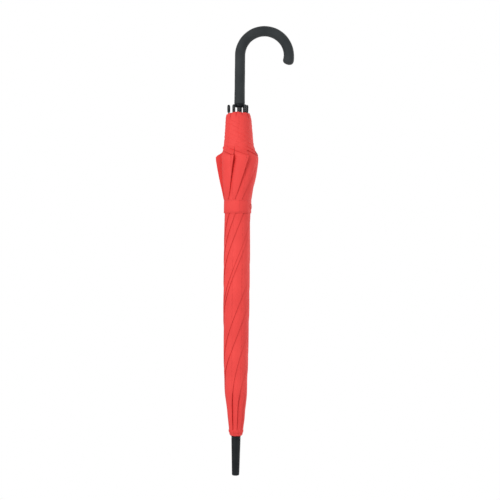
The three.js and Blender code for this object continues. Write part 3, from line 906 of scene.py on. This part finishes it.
def roll():
    """The outer turn of the rolled cloth, one panel between each two ribs."""
    first = RIB_AZIMUTHS[1]
    points = []
    painted_shades = []
    rows = []
    for z in sorted(set(skin_heights())):
        azimuths, radii, painted_shade_levels = skin_row(z)
        row = []
        for azimuth, radius, painted_shade_level in zip(azimuths, radii, painted_shade_levels):
            height = z
            if z > TUCK_Z:
                halfway = 1 - abs(2 * (((azimuth - first) / 45) % 1) - 1)
                rise = HEM_Z - 3 - HEM_DIP * halfway - TUCK_Z
                height = TUCK_Z + (z - TUCK_Z) * rise / (HEM_Z - TUCK_Z)
                radius = float(smooth_curve(height, OUTLINE)) - SKIN_TUCK
            elif z > 590:
                edge = lowest_edge(azimuth)
                radius -= SKIN_TUCK * float(smooth_step(z, edge + 0.5, edge + 6))
                # Painted shadow just under the lowest turn of the wound edge, darker under the proud front
                # left pleat.
                dark = 0.6 if edge_is_front_left(azimuth) else 0.3
                painted_shade_level = max(painted_shade_level, dark * math.exp(-((z - edge + 0.6) / 1.5) ** 2))
            points.append(on_roll(azimuth, radius, height))
            painted_shades.append(painted_shade_level)
            row.append(len(points) - 1)
        rows.append(row)
    faces = grid(rows)
    mesh = cloth_mesh("roll", points, faces, painted_shades)
    starts = [first + 45 * k for k in range(8)]
    for k, sector in enumerate(split_round(mesh, starts)):
        n = k + 1
        piece = hang(sector, f"panel_cloth_{n}")
        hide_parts(f"canopy_panel_{n}")
        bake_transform(piece)
    bpy.data.meshes.remove(mesh)


# The canopy's free edge, wound round the ribs above the flare: its turns come down to the right,
# each over the one below, and each ends at a corner of the flare.
TURN_SLOPE = 0.215       # mm down per degree
TURN_ROWS = (0, 0.05, 0.2, 0.4, 0.6, 0.8, 0.94)
TURN_COUNT = 11
TURN_RELIEF = ((595, 0.8), (606, 0.6), (616, 0.42), (668, 0.32))
# How much painted shade darkens the top of each turn, just under the lower edge of the turn above: heights
# and amounts.
TURN_SHADE = ((592, 0.3), (604, 0.22), (614, 0.16), (668, 0.11))
HEM_CREASE_PITCH = 30.5
HEM_CREASE_START = -40


def turn_height(pleat, turn, azimuth):
    """Height at an azimuth of the lower edge of a turn, counted up from the pleat's own turn, 1."""
    rounds, end = divmod(pleat + turn, 8)
    return TAILS_BOTTOM + TURN_SLOPE * (FLARE_CORNERS[end] + 360 * rounds - azimuth)


def lowest_edge(azimuth):
    """The height where the wound edge begins over the flare."""
    corners = unwound(np.array(FLARE_CORNERS, float))
    turned_to = (azimuth - corners[0]) % 360 + corners[0]
    pleat = min(int(np.searchsorted(corners, turned_to, side="right")) - 1, 7)
    return turn_height(pleat, 1, turned_to)


def edge_is_front_left(azimuth):
    """Whether the wound edge's lowest turn there is the front left pleat's, which stands proudest."""
    return (azimuth - FLARE_CORNERS[0]) % 360 < FLARE_CORNERS[1] - FLARE_CORNERS[0]


def hem_height(azimuth):
    a = math.radians(azimuth)
    left = 2.4 * math.exp(-(((azimuth + 90 + 180) % 360 - 180) / 40) ** 2)
    return HEM_Z - left + 0.5 * math.cos(3 * a + 0.4) + 0.45 * math.cos(7 * a + 1.1)


def tail_radius(azimuth, z, share, pleat, across):
    """The wound edge's radius; share runs from 0 at a turn's lower edge to 1 at its upper edge."""
    radius = float(smooth_curve(z, OUTLINE)) + 0.45 - hollow(azimuth, z)
    if pleat == 7:
        radius += float(np.interp(z, *zip(*PROUD_STEPS))) * across ** 5
    wave = 0.9 + 0.35 * math.sin(math.radians(azimuth) * 3 + z / 9) + 0.2 * math.sin(z / 4.3)
    relief = float(np.interp(z, *zip(*TURN_RELIEF))) + (0.9 if pleat == 0 and z < 606 else 0)
    radius += relief * wave * (1 - share) ** 1.4
    turn = math.radians(azimuth)
    radius += 0.2 * math.sin(5 * turn + z / 14) + 0.09 * math.sin(9 * turn + 1.7 * z)
    radius += 0.16 * math.sin(2 * turn + z / 1.05) * float(smooth_step(z, 664, 640))
    beside = (azimuth - HEM_CREASE_START + HEM_CREASE_PITCH / 2) % HEM_CREASE_PITCH - HEM_CREASE_PITCH / 2
    crease = round((azimuth - HEM_CREASE_START) / HEM_CREASE_PITCH)
    start = 652 + 5 * (crease % 3)
    pinch = math.exp(-(beside / 3.2) ** 2) * float(smooth_step(z, start, 667))
    return radius - 1.7 * pinch, pinch


def tails():
    """The wound free edge, in one piece for each rib."""
    points = []
    painted_shades = []
    faces = []
    corners = unwound(np.array(FLARE_CORNERS, float))
    for pleat in range(8):
        span = corners[pleat + 1] - corners[pleat]
        columns = np.linspace(0, 1, int(span / 2.4) + 1)
        rows = [turn + share for turn in range(1, TURN_COUNT + 1) for share in TURN_ROWS]
        first = len(points)
        for across in columns:
            azimuth = corners[pleat] + across * span
            top = hem_height(azimuth)
            for row in rows:
                turn, share = divmod(row, 1)
                edge = turn_height(pleat, int(turn), azimuth)
                rise = turn_height(pleat, int(turn) + 1, azimuth) - edge
                z = min(edge + share * rise, top)
                radius, pinch = tail_radius(azimuth, z, share, pleat, across)
                points.append(on_roll(azimuth, radius, z))
                # Painted shade under the edge of each turn, and in the hem's pinched creases.
                shade = float(np.interp(z, *zip(*TURN_SHADE)))
                painted_shades.append(max(math.exp(-(1 - share) * rise / 1.3) * shade, pinch))
            radius, pinch = tail_radius(azimuth, top, 0.5, pleat, across)
            # The hem turns in at the top; these inner rows get painted shade.
            for inside, down in ((1.0, -0.25), (2.2, 1.5), (3.0, 6), (3.4, 14)):
                points.append(on_roll(azimuth, radius - inside, top - down))
                painted_shades.append(0.5)
        count = len(rows) + 4
        for column in range(len(columns) - 1):
            for row in range(count - 1):
                here = first + column * count + row
                faces.append((here, here + count, here + count + 1, here + 1))
    mesh = cloth_mesh("tails", points, faces, painted_shades)
    halfway = [RIB_AZIMUTHS[1] - 22.5 + 45 * k for k in range(8)]
    for k, sector in enumerate(split_round(mesh, halfway)):
        n = k + 1
        piece = hang(sector, f"hem_tail_{n}")
        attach(piece, f"rib_{n}")
    bpy.data.meshes.remove(mesh)


def filling():
    """The inner turns of the cloth, seen from above between the ribs."""
    rows = []
    points = []
    painted_shades = []
    for z in (636, 644, 652, 658, 662, 663.5):
        row = []
        for azimuth in np.arange(0, 360, 1.5):
            turn = math.radians(azimuth)
            radius = 15.4 + 2.3 * math.sin(20 * turn + 0.8 * math.sin(3 * turn)) - 0.02 * (663 - z)
            height = z + 0.8 * math.sin(3 * turn + 1)
            points.append(on_roll(azimuth, radius, height))
            # Painted shade on the inner turns, which lie in shade between the ribs; less on the folds that
            # stand out.
            painted_shades.append(0.5 - 0.15 * math.sin(20 * turn))
            row.append(len(points) - 1)
        rows.append(row)
    mesh = cloth_mesh("filling", points, grid(rows), painted_shades)
    halfway = [RIB_AZIMUTHS[1] - 22.5 + 45 * k for k in range(8)]
    for k, sector in enumerate(split_round(mesh, halfway)):
        n = k + 1
        piece = hang(sector, f"hem_filling_{n}")
        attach(piece, f"rib_{n}")
    bpy.data.meshes.remove(mesh)


# ---- crown collar ----
def crown_collar():
    """The gathered end of the canopy, sewn round the notch above the ferrule."""
    profile = (
        (74.6, 7.9), (73.7, 8.6), (73.5, 9.6), (73.9, 10.5), (75.0, 11.4), (76.4, 11.95), (77.6, 12.1),
        (78.3, 11.85), (78.9, 12.35), (80.2, 13.0), (82.0, 13.35), (84.0, 13.5), (84.6, 13.2), (84.7, 12.6),
    )
    rows = []
    points = []
    painted_shades = []
    for z, radius in profile:
        row = []
        for azimuth in np.arange(0, 360, 2.5):
            turn = math.radians(azimuth)
            gather = 0.28 * math.sin(24 * turn) + 0.16 * math.sin(9 * turn + 1)
            size = radius + gather * float(smooth_step(z, 74, 77))
            points.append(on_roll(azimuth, size, z + 0.15 * math.sin(7 * turn)))
            # Painted shade in the seam's groove and in the hollows of the gathers.
            painted_shades.append(0.75 if 77.9 < z < 78.6 else max(0, -1.2 * gather))
            row.append(len(points) - 1)
        rows.append(row)
    mesh = cloth_mesh("crown_cloth", points, grid(rows), painted_shades)
    piece = hang(mesh, "crown_cloth", thickness=0.6)
    fixed(piece, "root", "canopy_collar")
    stitches = []
    for azimuth in np.arange(0, 360, 9):
        ends = [outward(azimuth + side) * 12.15 + Vector((0, 0, 78.3)) for side in (-2.8, 2.8)]
        stitches.append(bar(*ends, 0.2, 6, 0.1))
    seam = build("crown_seam", stitches, THREAD, "red_cloth")
    fixed(seam, "root")


# ---- strap ----
STRAP_THICKNESS = 0.9
STRAP_LAP = 36            # degrees that the strap's start runs on under its free end
# Across the strap: distance from an edge, and how proud the cloth stands there.
STRAP_SECTION = ((0, -0.35), (0.35, -0.05), (1.5, 0.05), (2.0, -0.16), (2.5, 0.05), (5, 0.02), (9, 0.06))
STITCH_FROM_EDGE = 2.0
STITCH_PITCH = 2.6
SNAP_FROM_END = 17.1      # degrees


def strap_turns():
    """Where each of the strap's four arcs starts, and how far it runs, in degrees round the roll."""
    middles = []
    for k in range(1, 5):
        place = joint_place(f"strap_{k}_unroll")
        middles.append(math.degrees(math.atan2(place.x, -place.y)) % 360)
    arc = (middles[1] - middles[0]) % 360
    return [middles[0] - arc / 2 + arc * k for k in range(4)], arc


def strap_point(azimuth, across, proud, first, last):
    """A point of the strap; it starts under its own free end and comes out beside it."""
    turn = math.radians(azimuth)
    lapped = 1 - float(smooth_step(azimuth, first + 2, first + 30))
    radius = STRAP_RADIUS + proud + 0.12 * math.sin(5 * turn + 1) * (0.4 + across / 25) - 1.0 * lapped
    radius += 0.25 * float(smooth_step(azimuth, last - 25, last - 5))
    return on_roll(azimuth, radius, STRAP_BOTTOM + across)


def strap():
    starts, arc = strap_turns()
    last = starts[3] + arc
    width = STRAP_TOP - STRAP_BOTTOM
    section = [(across, proud) for across, proud in STRAP_SECTION]
    section += [(width / 2, 0.08)]
    section += [(width - across, proud) for across, proud in reversed(STRAP_SECTION)]
    for k, start in enumerate(starts):
        n = k + 1
        begin = start - (STRAP_LAP if k == 0 else 0)
        azimuths = np.linspace(begin, start + arc, int((start + arc - begin) / 2.5) + 1)
        points = []
        painted_shades = []
        faces = []
        for azimuth in azimuths:
            for across, proud in section:
                rounded = 0.0
                if k == 3:
                    near_end = max(0.0, 1 - (last - azimuth) / 4)
                    rounded = 1.2 * near_end ** 2 * (2 * across / width - 1)
                points.append(strap_point(azimuth, across - rounded, proud, starts[0], last))
                # Painted shade where the strap's cloth dips, at its edges and in the groove along each
                # stitch line.
                painted_shades.append(0.55 if proud < -0.1 else 0.0)
        count = len(section)
        for column in range(len(azimuths) - 1):
            for row in range(count - 1):
                here = column * count + row
                faces.append((here, here + count, here + count + 1, here + 1))
        mesh = cloth_mesh(f"strap_{n}", points, faces, painted_shades)
        piece = hang(mesh, f"strap_ribbon_{n}", thickness=STRAP_THICKNESS)
        stitches = []
        pitch = math.degrees(STITCH_PITCH / (STRAP_RADIUS + 0.02))
        for azimuth in np.arange(max(start, begin + 4) + pitch / 2, start + arc - pitch / 4, pitch):
            for across in (STITCH_FROM_EDGE, width - STITCH_FROM_EDGE):
                ends = [strap_point(azimuth + side * pitch, across, -0.02, starts[0], last)
                        for side in (-0.33, 0.33)]
                stitches.append(bar(*ends, 0.17, 6, 0.1))
        sewn = build(f"strap_stitching_{n}", stitches, THREAD, "red_cloth")
        for part in (piece, sewn):
            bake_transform(part)
        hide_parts(f"strap_arc_{n}")
    snap(last - SNAP_FROM_END)


def snap(azimuth):
    """The press stud's cap, through the strap near its free end."""
    profile = [
        (0, -0.7), (5.0, -0.7), (5.0, 0.2), (4.75, 0.6), (4.2, 0.8), (3.7, 0.72), (3.3, 0.5), (2.6, 0.5),
        (2.2, 0.78), (1.2, 0.95), (0, 1.0),
    ]
    middle = Vector(on_roll(azimuth, STRAP_RADIUS + 0.35, (STRAP_BOTTOM + STRAP_TOP) / 2))
    out = outward(azimuth)
    up = Vector((0, 0, 1))
    turn = Matrix((up.cross(out), up, out)).transposed().to_4x4()
    cap = placed(turned(profile, 40, closed=False), Matrix.Translation(middle) @ turn)
    piece = build("press_stud_cap", [cap], STUD, "red_plastic", edge=0.08)
    fixed(piece, "strap_4", "strap_snap")


handle()
ferrule()
shaft()
notch()
runner()
wire_ring("notch_wire_ring", "notch_wire", "root")
wire_ring("runner_wire_ring", "runner_wire", "runner")
for number in RIBS:
    rib(number)
    stretcher(number)
roll()
tails()
filling()
crown_collar()
strap()

for node, look in (
    ("crown_washer", MOULDED), ("top_stop_pin", BRIGHT), ("crook_core", MOULDED), ("handle_pin", BRIGHT),
    ("bottom_catch", BRIGHT), ("top_catch", BRIGHT),
):
    materials = frame["nodes"][node].data.materials
    materials.clear()
    materials.append(look)
